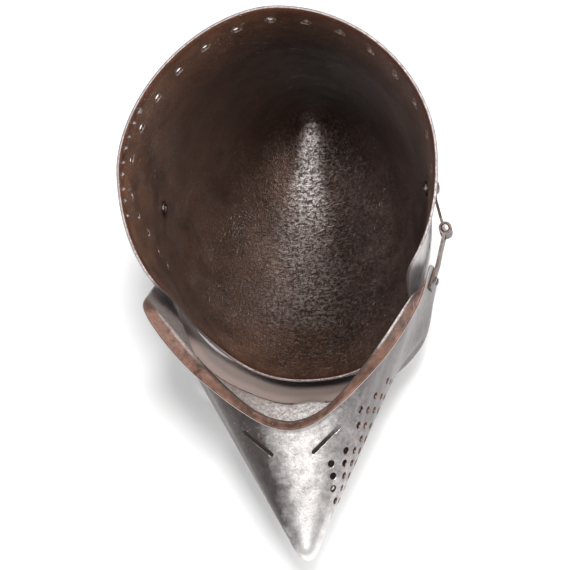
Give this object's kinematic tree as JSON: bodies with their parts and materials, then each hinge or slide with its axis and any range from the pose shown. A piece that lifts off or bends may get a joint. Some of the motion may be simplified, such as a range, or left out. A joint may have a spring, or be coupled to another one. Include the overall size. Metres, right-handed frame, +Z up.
{
  "type": "hounskull bascinet",
  "caption": "Pointed steel helmet lying on its crown, with a conical snouted visor that lifts on side pivots, sight slots, breaths on one side and lacing holes round the rim.",
  "frame": {"origin": "middle of the bounding box at the surface the helmet lies on", "axes": "+Z up, -Y the way the snout points, X across the face; the helmet lies on its crown, so its rim opens up and toward -Y"},
  "size_m": [0.2204, 0.431, 0.2809],
  "materials": {
    "skull_plate": "dark brown-black patina with rust toward the rim inside, greyer steel outside",
    "visor_plate": "worn grey steel, pebbled and lightly pitted, rust-brown along the lower border",
    "fittings": "dull worn steel, browned in the corners",
    "rivets": "hand-peened steel with bright edges"
  },
  "bodies": {
    "skull": {"skull": "skull_plate", "left_pivot_rivet": "rivets", "right_pivot_rivet": "rivets"},
    "visor": {"visor": "visor_plate", "left_pivot_arm": "fittings", "left_hinge_leaf": "fittings", "left_hinge_pin": "rivets", "left_leaf_rivet_1": "rivets", "left_leaf_rivet_2": "rivets", "right_pivot_arm": "fittings", "right_hinge_leaf": "fittings", "right_hinge_pin": "rivets", "right_leaf_rivet_1": "rivets", "right_leaf_rivet_2": "rivets"}
  },
  "joints": [
    {"name": "visor_lift", "type": "hinge", "parent": "skull", "child": "visor", "pos_m": [0, 0.03939, 0.14092], "axis": [1, 0, 0], "range_deg": [0, 40]}
  ]
}
